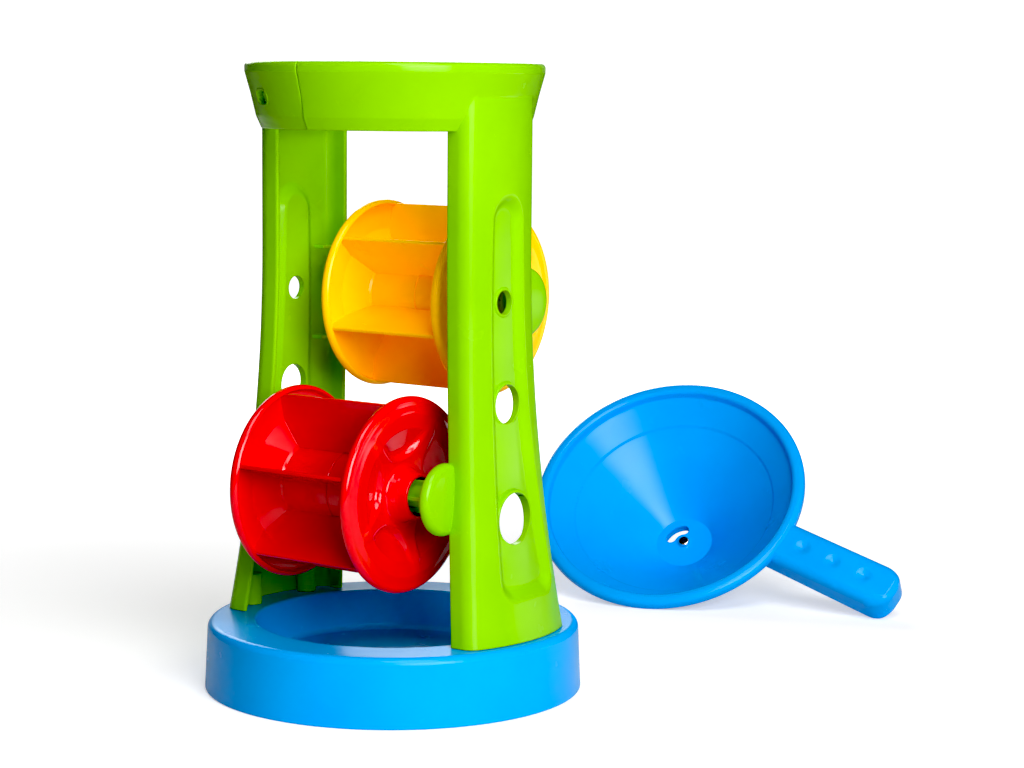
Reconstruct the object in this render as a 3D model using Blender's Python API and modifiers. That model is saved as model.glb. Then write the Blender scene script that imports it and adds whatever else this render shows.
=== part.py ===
"""Sand and water mill toy: a round tray, a two-leg tower that carries two bladed wheels one above
the other, and a loose funnel with a handle and a turning outlet valve, lying beside the tower.

Frame: metres, +Z up. Origin on the tower's vertical axis, on the ground. +X runs along both wheel
axles towards the right-hand leg, +Y is the side where the upper wheel hangs out of the tower.
Dimensions below are in millimetres and are turned into metres by MM.
"""

import math

import bmesh
import bpy
from mathutils import Matrix, Vector

MM = 0.001
GAP = 0.3  # clearance between two pieces that touch
# facets round each turned piece
BASE_STEPS, RING_STEPS, WHEEL_STEPS, FUNNEL_STEPS = 40, 40, 20, 36

# tray base
BASE_H = 32.3
BASE_R_FOOT = 90.0
BASE_R_TOP = 88.4
TRAY_OPENING_R = 65.6
TRAY_FLOOR_Z = 12.5
WALL = 2.4

# tower
RING_TOP_Z = 296.0
RING_LOW_Z = 265.2
LEG_R_TOP = 67.4  # radius of the leg's outer face, from the tower axis
LEG_R_FLARE = 4.62e-4
LEG_FLARE_Z = 215.0
LEG_W_TOP = 26.0  # half width of the leg
LEG_W_FLARE = 3.64e-4
LEG_W_FLARE_Z = 205.0
LEG_CORNER_R = 8.0
LEG_DEPTH = 11.5
LATCH_AZ = -116.0
LATCH_Z = 279.6

# wheels
AXLE_OFFSET = 32.3
LOWER_AXLE_Z = 99.2
UPPER_AXLE_Z = 184.6
LOWER_EAR_X = 54.0
UPPER_EAR_X = 50.5
EAR_R = 16.7
EAR_T = 5.0
WHEEL_R = 45.5
HUB_R = 17.3
BORE_R = 8.1
BLADE_R = 43.9
BLADE_T = 1.8
BLADES = 6
LOWER_PHASE = 44.4
UPPER_PHASE = 20.0
AXLE_RIB_R = 7.6
AXLE_CORE_R = 5.2

# funnel, in its own frame: +Z out of the mouth, +X along the handle, origin in the rim's middle plane
RIM_R = 77.3
LIP_R = 3.6
FLOOR_DEPTH = 49.0
SPOUT_R = 18.5
SPOUT_DEPTH = 60.2
HANDLE_END = 146.6
HANDLE_W = 26.4
HANDLE_ROUND = 13.0
HANDLE_TOP, HANDLE_TOP_DROOP = 2.4, 3.4  # top face at the rim, and how far it falls by the tip
HANDLE_LOW, HANDLE_LOW_DROOP = -12.7, 6.7
FUNNEL_TILT = 44.7  # elevation of the mouth's direction
FUNNEL_AZ = -72.5  # heading of the mouth's direction
HANDLE_ROLL = -21.4  # handle's angle in the rim plane, from the level line
FUNNEL_X, FUNNEL_Y = -15.0, 267.0
FUNNEL_CLEAR = 0.2

for old in list(bpy.data.objects):
    bpy.data.objects.remove(old, do_unlink=True)

PARTS = bpy.data.collections.new("sand_water_mill")
CUTTERS = bpy.data.collections.new("cutters")
bpy.context.scene.collection.children.link(PARTS)
bpy.context.scene.collection.children.link(CUTTERS)


def material(name, colour, roughness=0.25, metallic=0.0):
    mat = bpy.data.materials.new(name)
    mat.use_nodes = True
    shader = mat.node_tree.nodes["Principled BSDF"]
    shader.inputs["Base Color"].default_value = (*colour, 1.0)
    shader.inputs["Roughness"].default_value = roughness
    shader.inputs["Metallic"].default_value = metallic
    return mat


BLUE = material("blue_plastic", (0.0, 0.27, 0.90))
GREEN = material("green_plastic", (0.29, 0.66, 0.0))
YELLOW = material("yellow_plastic", (1.0, 0.55, 0.0))
RED = material("red_plastic", (0.80, 0.0, 0.005))
STEEL = material("bright_steel", (0.75, 0.74, 0.72), 0.22, 1.0)


def finish(obj, mat, angle=32.0):
    obj.data.materials.clear()
    obj.data.materials.append(mat)
    obj.data.shade_smooth()
    obj.data.set_sharp_from_angle(angle=math.radians(angle))


def mesh_object(name, bm, collection=PARTS):
    bmesh.ops.recalc_face_normals(bm, faces=bm.faces)
    mesh = bpy.data.meshes.new(name)
    bm.to_mesh(mesh)
    bm.free()
    obj = bpy.data.objects.new(name, mesh)
    collection.objects.link(obj)
    return obj


def cutter(obj):
    for held in list(obj.users_collection):
        held.objects.unlink(obj)
    CUTTERS.objects.link(obj)
    obj.hide_render = True
    obj.display_type = "WIRE"
    return obj


def baked(obj):
    """The object with its modifiers applied."""
    graph = bpy.context.evaluated_depsgraph_get()
    bpy.context.view_layer.update()
    mesh = bpy.data.meshes.new_from_object(obj.evaluated_get(graph))
    obj.modifiers.clear()
    obj.data = mesh
    return obj


def lathe(name, profile, steps, collection=PARTS):
    """A turned solid about Z. The profile, (radius, height) in mm, runs down the outer side and is
    closed; a profile that starts and ends on the axis isn't closed."""
    bm = bmesh.new()
    points = [bm.verts.new((r * MM, 0.0, z * MM)) for r, z in profile]
    on_axis = profile[0][0] == 0 and profile[-1][0] == 0
    for i in range(len(points) - (1 if on_axis else 0)):
        bm.edges.new((points[i], points[(i + 1) % len(points)]))
    mesh = bpy.data.meshes.new(name)
    bm.to_mesh(mesh)
    bm.free()
    obj = bpy.data.objects.new(name, mesh)
    collection.objects.link(obj)
    turn = obj.modifiers.new("turn", "SCREW")
    turn.axis = "Z"
    turn.angle = 2 * math.pi
    turn.steps = turn.render_steps = steps
    turn.use_merge_vertices = True
    turn.merge_threshold = 1e-5
    baked(obj)
    bm = bmesh.new()
    bm.from_mesh(obj.data)
    bmesh.ops.remove_doubles(bm, verts=bm.verts, dist=1e-6)
    bmesh.ops.recalc_face_normals(bm, faces=bm.faces)
    bm.to_mesh(obj.data)
    bm.free()
    return obj


def block(name, low, high, collection=PARTS):
    bm = bmesh.new()
    bmesh.ops.create_cube(bm, size=1.0)
    for v in bm.verts:
        v.co = Vector([((lo + hi) / 2 + c * (hi - lo)) * MM for lo, hi, c in zip(low, high, v.co)])
    return mesh_object(name, bm, collection)


def rod(name, radius, start, end, axis="Z", segments=20, centre=(0.0, 0.0), collection=PARTS):
    """A cylinder along an axis; centre gives the other two coordinates in order."""
    bm = bmesh.new()
    bmesh.ops.create_cone(bm, cap_ends=True, segments=segments, radius1=radius * MM, radius2=radius * MM, depth=(end - start) * MM)
    middle = (start + end) / 2 * MM
    if axis == "X":
        turn, place = Matrix.Rotation(math.pi / 2, 4, "Y"), (middle, centre[0] * MM, centre[1] * MM)
    elif axis == "Y":
        turn, place = Matrix.Rotation(math.pi / 2, 4, "X"), (centre[0] * MM, middle, centre[1] * MM)
    else:
        turn, place = Matrix.Identity(4), (centre[0] * MM, centre[1] * MM, middle)
    bmesh.ops.transform(bm, matrix=Matrix.Translation(place) @ turn, verts=bm.verts)
    return mesh_object(name, bm, collection)


def prism(name, outline, low, high, collection=PARTS):
    """An outline in the XY plane, in mm and counter-clockwise, raised from low to high."""
    bm = bmesh.new()
    bottom = [bm.verts.new((x * MM, y * MM, low * MM)) for x, y in outline]
    top = [bm.verts.new((x * MM, y * MM, high * MM)) for x, y in outline]
    bm.faces.new(bottom)
    bm.faces.new(top)
    for i in range(len(outline)):
        j = (i + 1) % len(outline)
        bm.faces.new((bottom[i], bottom[j], top[j], top[i]))
    return mesh_object(name, bm, collection)


def combine(obj, other, operation):
    """Joins or cuts, and keeps the other solid among the cutters."""
    step = obj.modifiers.new(other.name, "BOOLEAN")
    step.operation = operation
    step.solver = "EXACT"
    step.object = cutter(other)
    return obj


def moved(obj, matrix):
    obj.data.transform(matrix)
    if matrix.determinant() < 0:
        obj.data.flip_normals()
    return obj


# ---------------------------------------------------------------- tray base

FOOT_R = 8.0
base_profile = [
    (0, TRAY_FLOOR_Z),
    (60.5, TRAY_FLOOR_Z),
    (63.3, TRAY_FLOOR_Z + 1.6),
    (64.0, TRAY_FLOOR_Z + 5.0),
    (TRAY_OPENING_R, BASE_H - 1.2),
    (TRAY_OPENING_R + 1.0, BASE_H),
    (BASE_R_TOP - 3.6, BASE_H),
    (BASE_R_TOP - 1.1, BASE_H - 1.0),
    (BASE_R_TOP, BASE_H - 3.4),
    (BASE_R_TOP + 1.0, 12.0),
    (BASE_R_FOOT, 0.0),
    (BASE_R_FOOT - 3.0, 0.0),
    (BASE_R_TOP - WALL, BASE_H - WALL),
    (TRAY_OPENING_R + WALL + 0.6, BASE_H - WALL),
    (63.3 + WALL, TRAY_FLOOR_Z - 1.0),
    (62.0, TRAY_FLOOR_Z - WALL),
    (FOOT_R, TRAY_FLOOR_Z - WALL),
    (FOOT_R, 0.0),
    (0, 0.0),
]
tray = lathe("tray_base", base_profile, BASE_STEPS)

SCREW_X, SCREW_Y = 72.8, 20.0
screw_places = [(sx * SCREW_X, sy * SCREW_Y) for sx in (1, -1) for sy in (1, -1)]
for index, (x, y) in enumerate(screw_places, 1):
    combine(tray, rod(f"base_screw_hole_{index}", 2.1, BASE_H - 6, BASE_H + 3, centre=(x, y), segments=10), "DIFFERENCE")
finish(tray, BLUE)

for index, (x, y) in enumerate(screw_places, 1):
    top = BASE_H - WALL - GAP
    screw = lathe(
        f"foot_screw_{index}",
        [(0, top + 14.0), (1.2, top + 13.4), (1.6, top + 12.4), (1.6, top), (3.5, top), (3.5, top - 1.4), (2.6, top - 2.3), (0, top - 2.3)],
        10,
    )
    screw.location = (x * MM, y * MM, 0)
    finish(screw, STEEL)


# ---------------------------------------------------------------- tower halves


def leg_radius(z):
    return LEG_R_TOP + LEG_R_FLARE * max(0.0, LEG_FLARE_Z - z) ** 2


def leg_half_width(z):
    return LEG_W_TOP + LEG_W_FLARE * max(0.0, LEG_W_FLARE_Z - z) ** 2


def leg_section(z, inset):
    """The leg's channel section at a height, from its -Y lip to its +Y lip, inset into the wall."""
    radius, half, corner = leg_radius(z), leg_half_width(z), LEG_CORNER_R
    lip = math.sqrt(radius**2 - half**2) - LEG_DEPTH
    cx = math.sqrt((radius - corner) ** 2 - (half - corner) ** 2)
    cy = half - corner
    lean = math.atan2(cy, cx)
    side = []
    for i in range(4):
        a = math.pi / 2 + (lean - math.pi / 2) * i / 3
        side.append((cx + (corner - inset) * math.cos(a), cy + (corner - inset) * math.sin(a)))
    front = [((radius - inset) * math.cos(a), (radius - inset) * math.sin(a)) for a in [lean * (1 - i / 4) for i in range(1, 8)]]
    upper = [(lip, half - inset), *side]
    return [(x, -y) for x, y in upper] + front[::-1] + upper[::-1]


def leg_shell(name):
    """A loft of the channel section from the foot to the ring."""
    heights = [BASE_H + GAP, 44, 58, 74, 92, 112, 135, 160, 188, LEG_FLARE_Z, 282.0]
    bm = bmesh.new()
    rows = []
    for z in heights:
        outer = leg_section(z, 0.0)
        inner = leg_section(z, WALL)
        rows.append([[bm.verts.new((x * MM, y * MM, z * MM)) for x, y in path] for path in (outer, inner)])
    n = len(rows[0][0])
    for low, high in zip(rows, rows[1:]):
        for side in (0, 1):
            for i in range(n - 1):
                bm.faces.new((low[side][i], low[side][i + 1], high[side][i + 1], high[side][i]))
        for i in (0, n - 1):
            bm.faces.new((low[0][i], low[1][i], high[1][i], high[0][i]))
    for row in (rows[0], rows[-1]):
        for i in range(n - 1):
            bm.faces.new((row[0][i], row[0][i + 1], row[1][i + 1], row[1][i]))
    return mesh_object(name, bm)


GROOVE_TOP, GROOVE_LOW = 235.6, 53.0
GROOVE_W_TOP, GROOVE_W_LOW = 9.6, 13.6
GROOVE_MORE, GROOVE_SHIFT = 5.4, 4.2  # how much the foot widens, and moves to +Y, below GROOVE_SPREAD_Z
GROOVE_SPREAD_Z = 150.0
GROOVE_DEPTH = 3.7
HOLES = [(187.3, 5.6), (140.6, 9.0), (88.0, 12.0)]


def groove_spread(z):
    """0 down to GROOVE_SPREAD_Z, rising to 1 at the recess's foot."""
    return max(0.0, min(1.0, (GROOVE_SPREAD_Z - z) / 88.0)) ** 1.5


def groove_outline(grow, ends, between):
    """(height, half width) up one side of the recess: squarish foot with round corners, round head."""
    corner = 7.0 + grow * 0.9
    low, w_low, w_top = GROOVE_LOW - grow, GROOVE_W_LOW + grow, GROOVE_W_TOP + grow
    head = GROOVE_TOP - GROOVE_W_TOP
    line = []
    for i in range(ends + 1):
        a = math.pi / 2 * i / ends
        line.append((low + corner - corner * math.cos(a), w_low - corner + corner * math.sin(a)))
    foot = low + corner
    for i in range(1, between + 1):
        line.append((foot + (head - foot) * i / between, w_low + (w_top - w_low) * i / between))
    for i in range(1, ends + 1):
        a = math.pi / 2 * i / ends
        line.append((head + w_top * math.sin(a), max(w_top * math.cos(a), 1.6)))
    return [(z, w + GROOVE_MORE * groove_spread(z)) for z, w in line]


def groove_solid(name, grow_low, grow_high, depth_low, depth_high, ends=3, between=8):
    """A slab with the recess's outline that follows the leg's face between two depths, with sloping sides."""
    bm = bmesh.new()
    rows = []
    across = [-1.0, -0.5, 0.0, 0.5, 1.0]
    for pair in zip(groove_outline(grow_low, ends, between), groove_outline(grow_high, ends, between)):
        row = []
        for (z, w), depth in zip(pair, (depth_low, depth_high)):
            r = leg_radius(z) - depth
            sides = [GROOVE_SHIFT * groove_spread(z) + w * t for t in across]
            row.append([bm.verts.new((math.sqrt(r * r - y * y) * MM, y * MM, z * MM)) for y in sides])
        rows.append(row)
    m = len(across)
    for a, b in zip(rows, rows[1:]):
        for s in (0, 1):
            for i in range(m - 1):
                bm.faces.new((a[s][i], a[s][i + 1], b[s][i + 1], b[s][i]))
        for i in (0, m - 1):
            bm.faces.new((a[0][i], a[1][i], b[1][i], b[0][i]))
    for row in (rows[0], rows[-1]):
        for i in range(m - 1):
            bm.faces.new((row[0][i], row[0][i + 1], row[1][i + 1], row[1][i]))
    return mesh_object(name, bm)


def ear(name, back_x, y, z):
    """The round boss on a leg's lip that carries one end of an axle, its outer edge rounded over."""
    boss = lathe(
        name,
        [(0, EAR_T), (EAR_R - 4.0, EAR_T), (EAR_R - 1.4, EAR_T - 0.9), (EAR_R, EAR_T - 3.0), (EAR_R, 0), (0, 0)],
        20,
    )
    turn = Matrix.Rotation(math.pi / 2, 4, "Y")
    return moved(boss, Matrix.Translation(Vector((back_x, y, z)) * MM) @ turn)


RING_PROFILE = [
    (66.6, RING_TOP_Z),
    (69.0, RING_TOP_Z - 0.7),
    (70.2, RING_TOP_Z - 2.6),
    (70.0, RING_TOP_Z - 5.0),
    (67.3, RING_TOP_Z - 15.0),
    (64.9, RING_TOP_Z - 25.0),
    (63.7, RING_LOW_Z + 1.8),
    (62.1, RING_LOW_Z),
    (60.9, RING_LOW_Z + 1.0),
    (61.8, RING_TOP_Z - 25.0),
    (64.2, RING_TOP_Z - 15.0),
    (65.4, RING_TOP_Z - 8.0),
    (65.3, RING_TOP_Z - 0.8),
]


def ring_wall(z):
    """Outer radius of the ring's conical wall."""
    return 67.3 + (z - (RING_TOP_Z - 15.0)) * 0.24


def arc_block(name, az_a, az_b, r_in, r_out, z_low, z_high, pieces=6):
    """A block bent round the tower axis; its radii are distances from the ring's outer wall."""
    bm = bmesh.new()
    rows = []
    for i in range(pieces + 1):
        a = math.radians(az_a + (az_b - az_a) * i / pieces)
        row = []
        for z, r in ((z_low, r_in), (z_low, r_out), (z_high, r_out), (z_high, r_in)):
            rr = ring_wall(z) + r
            row.append(bm.verts.new((rr * math.cos(a) * MM, rr * math.sin(a) * MM, z * MM)))
        rows.append(row)
    for a, b in zip(rows, rows[1:]):
        for i in range(4):
            j = (i + 1) % 4
            bm.faces.new((a[i], a[j], b[j], b[i]))
    bm.faces.new(rows[0])
    bm.faces.new(rows[-1])
    return mesh_object(name, bm)


def tower_half(name, mirror):
    """One moulding: a leg with its ears, ribs, recess and holes, and half of the flared ring."""
    side = Matrix.Diagonal((-1.0, 1.0, 1.0, 1.0)) if mirror else Matrix.Identity(4)
    half_turn = Matrix.Rotation(math.pi if mirror else 0.0, 4, "Z")

    def leg_piece(obj):
        return moved(obj, side)

    def ring_piece(obj):
        return moved(obj, half_turn)

    leg = leg_shell(name)
    leg_piece(leg)
    combine(leg, leg_piece(groove_solid(f"{name}_panel", 4.6, 0.2, 0.9, GROOVE_DEPTH + WALL)), "UNION")
    combine(leg, leg_piece(groove_solid(f"{name}_recess", 2.9, -2.2, -1.0, GROOVE_DEPTH)), "DIFFERENCE")
    for z in (UPPER_AXLE_Z - 21.8, UPPER_AXLE_Z + 22.4):
        w = leg_half_width(z) - 0.5
        r = leg_radius(z)
        lip = math.sqrt(r**2 - leg_half_width(z) ** 2) - LEG_DEPTH
        combine(leg, leg_piece(block(f"{name}_rib_{z:.0f}", (lip + 0.4, 8.0, z - 0.9), (math.sqrt(r * r - w * w) - 5.0, w - 0.4, z + 0.9))), "UNION")
    for z in (LOWER_AXLE_Z - 21.8, LOWER_AXLE_Z + 22.4):
        w = leg_half_width(z) - 0.5
        r = leg_radius(z)
        lip = math.sqrt(r**2 - leg_half_width(z) ** 2) - LEG_DEPTH
        combine(leg, leg_piece(block(f"{name}_rib_{z:.0f}", (lip + 0.4, -w + 0.4, z - 0.9), (math.sqrt(r * r - w * w) - 5.0, -11.0, z + 0.9))), "UNION")
    combine(leg, leg_piece(ear(f"{name}_ear_low", LOWER_EAR_X, -AXLE_OFFSET, LOWER_AXLE_Z)), "UNION")
    combine(leg, leg_piece(ear(f"{name}_ear_up", UPPER_EAR_X, AXLE_OFFSET, UPPER_AXLE_Z)), "UNION")
    for x, y, z in ((LOWER_EAR_X, -AXLE_OFFSET, LOWER_AXLE_Z), (UPPER_EAR_X, AXLE_OFFSET, UPPER_AXLE_Z)):
        combine(leg, leg_piece(block(f"{name}_socket_{z:.0f}", (x - 2.0, y - 4.2, z - 4.2), (x + 3.2, y + 4.2, z + 4.2))), "DIFFERENCE")
    for z, r in HOLES:
        combine(leg, leg_piece(rod(f"{name}_hole_{z:.0f}", r, 45.0, 95.0, axis="X", segments=16, centre=(0.0, z))), "DIFFERENCE")
    for y in (SCREW_Y, -SCREW_Y):
        combine(leg, leg_piece(rod(f"{name}_post_{y:.0f}", 4.6, BASE_H + GAP, BASE_H + 15.4, centre=(SCREW_X, y), segments=10)), "UNION")
        combine(leg, leg_piece(rod(f"{name}_pilot_{y:.0f}", 1.95, BASE_H - 3.0, BASE_H + 12.9, centre=(SCREW_X, y), segments=8)), "DIFFERENCE")

    # the leg's head stops at the ring's inner cone, which leaves the mouth clear
    throat = [(0, RING_LOW_Z + 1.0), (60.9, RING_LOW_Z + 1.0), (62.3, RING_TOP_Z - 25.0), (65.0, RING_TOP_Z - 13.0), (65.0, RING_TOP_Z), (0, RING_TOP_Z)]
    combine(leg, lathe(f"{name}_throat", throat, RING_STEPS), "DIFFERENCE")

    ring = lathe(f"{name}_ring", RING_PROFILE, RING_STEPS)
    combine(ring, block(f"{name}_other_half", (-90.0, -90.0, RING_LOW_Z - 5.0), (GAP / 2, 90.0, RING_TOP_Z + 5.0)), "DIFFERENCE")
    # a latch tongue reaches behind the other half at one seam, and its knob catches in a slot there
    combine(ring, arc_block(f"{name}_tongue_root", -78.0, -89.0, -5.6, -2.0, LATCH_Z - 6.0, LATCH_Z + 6.0, 3), "UNION")
    combine(ring, arc_block(f"{name}_tongue", -84.0, LATCH_AZ - 8.0, -5.6, -3.9, LATCH_Z - 5.5, LATCH_Z + 5.5, 7), "UNION")
    combine(ring, arc_block(f"{name}_knob", LATCH_AZ - 4.6, LATCH_AZ + 4.6, -4.4, -1.6, LATCH_Z - 2.2, LATCH_Z + 2.2, 3), "UNION")
    combine(ring, arc_block(f"{name}_slot", LATCH_AZ + 180.0 - 6.4, LATCH_AZ + 180.0 + 6.4, -3.7, 4.0, LATCH_Z - 3.5, LATCH_Z + 3.5, 4), "DIFFERENCE")
    baked(ring)
    ring_piece(ring)
    combine(leg, ring, "UNION")
    finish(leg, GREEN)
    return leg


tower_half("tower_half_right", False)
tower_half("tower_half_left", True)


# ---------------------------------------------------------------- axles


def axle(name, half_length, y, z):
    """A fixed shaft: round core, four ribs, and a square spigot at each end that sits in the ear."""
    end = half_length - GAP
    shaft = rod(name, AXLE_CORE_R, -end, end, axis="X", segments=16)
    for turn, tag in ((0.0, "flat"), (math.pi / 2, "upright")):
        rib = block(f"{name}_{tag}", (-end + 0.02, -AXLE_RIB_R, -0.95), (end - 0.02, AXLE_RIB_R, 0.95))
        combine(shaft, moved(rib, Matrix.Rotation(turn, 4, "X")), "UNION")
    combine(shaft, block(f"{name}_spigot", (-half_length - 2.6, -3.8, -3.8), (half_length + 2.6, 3.8, 3.8)), "UNION")
    shaft.location = (0, y * MM, z * MM)
    for step in shaft.modifiers:
        step.object.location = shaft.location
    finish(shaft, GREEN)
    return shaft


axle("lower_axle", LOWER_EAR_X, -AXLE_OFFSET, LOWER_AXLE_Z)
axle("upper_axle", UPPER_EAR_X, AXLE_OFFSET, UPPER_AXLE_Z)


# ---------------------------------------------------------------- wheels

# half of a wheel's turned section, (radius, distance from the wheel's middle plane): rolled rim,
# dished face, hub nose with the bore, inner bearing tube and the outer hub barrel
DISC_PROFILE = [
    (9.3, 41.7),
    (10.1, 41.7),
    (10.5, 41.2),
    (11.4, 36.0),
    (12.4, 33.6),
    (14.2, 31.8),
    (20.0, 33.3),
    (31.0, 35.9),
    (37.5, 36.1),
    (42.0, 35.5),
    (44.6, 34.8),
    (WHEEL_R, 33.1),
    (44.6, 31.2),
    (43.2, 31.2),
    (42.3, 33.2),
    (31.0, 33.5),
    (18.4, 27.5),
    (HUB_R, 26.4),
    (HUB_R, GAP / 2),
    (HUB_R - 2.0, GAP / 2),
    (HUB_R - 2.0, 26.4),
    (10.2, 26.4),
    (10.2, 20.0),
    (BORE_R, 20.0),
    (BORE_R, 33.2),
    (9.0, 33.5),
    (9.0, 41.4),
]
PETALS = 5
PETAL_TURN = 53.6  # the first hollow, from the first blade, in degrees
PETAL_APEX = 9.9  # where a hollow's two sides would meet, from the axle
PETAL_CENTRE, PETAL_R = 32.4, 15.9  # the arc that closes it beside the hub
PETAL_REACH = 38.0


def petal(name):
    """One hollow in a disc's face: an arc beside the hub, sides that open at 45 degrees to its middle line,
    and a floor that climbs outwards until it meets the face."""
    meet = PETAL_CENTRE - PETAL_R * math.sqrt(0.5)
    bm = bmesh.new()
    rows = []
    for along in (17.1, 17.8, 19.2, meet, 24.5, 28.0, 31.0, 34.0, 36.4):
        half = along - PETAL_APEX if along >= meet else math.sqrt(PETAL_R**2 - (PETAL_CENTRE - along) ** 2)
        half = min(half, math.sqrt(PETAL_REACH**2 - along**2)) - 0.6
        row = []
        for t in (-1.0, -0.5, 0.0, 0.5, 1.0):
            r = math.hypot(along, (half - 0.6) * t)
            row.append((29.4 + (r - 18.0) * 0.455 if r < 31.0 else 35.3 + (r - 31.0) * 0.12, (half - 0.6) * t))
        edge = row[-1][0]
        row += [(edge + 1.0, half + 0.4), (38.5, half + 1.6), (38.5, -half - 1.6), (edge + 1.0, -half - 0.4)]
        rows.append([bm.verts.new((x * MM, y * MM, along * MM)) for x, y in row])
    n = len(rows[0])
    for a, b in zip(rows, rows[1:]):
        for i in range(n):
            j = (i + 1) % n
            bm.faces.new((a[i], a[j], b[j], b[i]))
    bm.faces.new(rows[0])
    bm.faces.new(rows[-1])
    return mesh_object(name, bm)


def wheel_half(name, away, phase):
    """A disc with its half of the hub, turned about X; away is +1 or -1 for the end it closes."""
    half = lathe(name, DISC_PROFILE, WHEEL_STEPS)
    turn = Matrix.Rotation(math.pi / 2 * away, 4, "Y")
    moved(half, turn)
    side = Matrix.Diagonal((away, 1.0, 1.0, 1.0))
    for i in range(PETALS):
        a = math.radians(phase + PETAL_TURN + 360.0 / PETALS * i)
        combine(half, moved(moved(petal(f"{name}_petal_{i + 1}"), Matrix.Rotation(a - math.pi / 2, 4, "X")), side), "DIFFERENCE")
    return half


def wheel(prefix, y, z, phase, mat):
    body = wheel_half(f"{prefix}_wheel_body", -1, phase)
    for i in range(BLADES):
        a = math.radians(phase + 360.0 / BLADES * i)
        outline = [
            (-32.6, BLADE_R),
            (-34.1, 41.9),
            (-34.1, 31.0),
            (-27.4, HUB_R - 1.0),
            (-GAP / 2, HUB_R - 1.0),
            (-GAP / 2, HUB_R + GAP),
            (25.9, HUB_R + GAP + 0.1),
            (26.8, HUB_R + 1.4),
            (32.9, 31.4),
            (32.6, 41.6),
            (30.9, 42.6),
            (30.6, BLADE_R),
        ]
        blade = prism(f"{prefix}_blade_{i + 1}", outline, -BLADE_T / 2, BLADE_T / 2)
        # outline (x, radius) with its thickness along local Z: turned so that the radius points at a
        moved(blade, Matrix.Rotation(a - math.pi / 2, 4, "X"))
        moved(blade, Matrix.Rotation(math.pi / 2, 4, "X"))
        combine(body, blade, "UNION")
    cap = wheel_half(f"{prefix}_wheel_cap", 1, phase)
    for obj in (body, cap):
        obj.location = (0, y * MM, z * MM)
        for step in obj.modifiers:
            step.object.location = obj.location
        finish(obj, mat)


wheel("lower", -AXLE_OFFSET, LOWER_AXLE_Z, LOWER_PHASE, RED)
wheel("upper", AXLE_OFFSET, UPPER_AXLE_Z, UPPER_PHASE, YELLOW)


# ---------------------------------------------------------------- funnel

BOWL_T = 2.2
funnel_profile = [
    (RIM_R - LIP_R, LIP_R),
    (RIM_R - 1.2, 2.6),
    (RIM_R, 0.0),
    (RIM_R - 1.1, -2.7),
    (RIM_R - LIP_R - 0.4, -3.7),
    (69.4, -5.2),
    (60.4, -13.0),
    (59.0, -16.4),
    (20.2, -50.4),
    (SPOUT_R, -52.4),
    (SPOUT_R, -SPOUT_DEPTH),
    (SPOUT_R - 2.2, -SPOUT_DEPTH),
    (SPOUT_R - 2.2, -FLOOR_DEPTH - BOWL_T),
    (2.1, -FLOOR_DEPTH - BOWL_T),
    (2.1, -FLOOR_DEPTH),
    (16.2, -FLOOR_DEPTH),
    (17.6, -48.0),
    (56.8, -13.4),
    (57.6, -12.2),
    (70.3, -1.4),
    (71.4, 2.2),
]
KIDNEY_R, KIDNEY_HALF_W, KIDNEY_SPAN, KIDNEY_AT = 8.8, 3.0, 62.0, 154.9


def kidney(name, low, high, grow=0.0):
    """A curved slot about the valve's axis, with round ends."""
    start, stop = (math.radians(KIDNEY_AT - KIDNEY_SPAN / 2), math.radians(KIDNEY_AT + KIDNEY_SPAN / 2))
    w = KIDNEY_HALF_W + grow
    points = []
    for i in range(7):
        a = start + (stop - start) * i / 6
        points.append(((KIDNEY_R + w) * math.cos(a), (KIDNEY_R + w) * math.sin(a)))
    for i in range(1, 5):
        b = stop + math.pi * i / 5
        points.append((KIDNEY_R * math.cos(stop) + w * math.cos(b), KIDNEY_R * math.sin(stop) + w * math.sin(b)))
    for i in range(7):
        a = stop + (start - stop) * i / 6
        points.append(((KIDNEY_R - w) * math.cos(a), (KIDNEY_R - w) * math.sin(a)))
    for i in range(1, 5):
        b = start + math.pi + math.pi * i / 5
        points.append((KIDNEY_R * math.cos(start) + w * math.cos(b), KIDNEY_R * math.sin(start) + w * math.sin(b)))
    return prism(name, points, low, high)


def handle_body(name, inset, x_start, x_end, open_below):
    """The handle as a bar that droops away from the rim: cross-sections with rounded corners,
    narrowed towards the round end."""
    bm = bmesh.new()
    rows = []
    flat_end = x_end - HANDLE_ROUND
    stations = [x_start, flat_end] + [flat_end + HANDLE_ROUND * math.sin(math.pi / 2 * i / 5) for i in range(1, 6)]
    for x in stations:
        run = max(0.0, (x - flat_end) / HANDLE_ROUND)
        half = (HANDLE_W / 2 - inset) * (0.3 + 0.7 * math.sqrt(max(0.0, 1.0 - run * run)))
        droop = (x - RIM_R) / (HANDLE_END - RIM_R)
        top = HANDLE_TOP - HANDLE_TOP_DROOP * droop - inset - (0.0 if open_below else 3.4 * max(0.0, run - 0.6) ** 2 / 0.16)
        low = HANDLE_LOW - HANDLE_LOW_DROOP * droop - (3.0 if open_below else -4.6 * max(0.0, run - 0.3) ** 2 / 0.49)
        c, d = min(5.0, half * 0.45), min(2.5, half * 0.4)
        section = [
            (half, low + d), (half, top - c), (half - 0.3 * c, top - 0.3 * c), (half - c, top), (-half + c, top),
            (-half + 0.3 * c, top - 0.3 * c), (-half, top - c), (-half, low + d), (-half + d, low), (half - d, low),
        ]
        rows.append([bm.verts.new((x * MM, y * MM, z * MM)) for y, z in section])
    n = len(rows[0])
    for a, b in zip(rows, rows[1:]):
        for k in range(n):
            j = (k + 1) % n
            bm.faces.new((a[k], a[j], b[j], b[k]))
    bm.faces.new(rows[0])
    bm.faces.new(rows[-1])
    return mesh_object(name, bm)


bowl = lathe("funnel_bowl", funnel_profile, FUNNEL_STEPS)
bar = handle_body("handle_bar", 0.0, 60.0, HANDLE_END, False)
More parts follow.
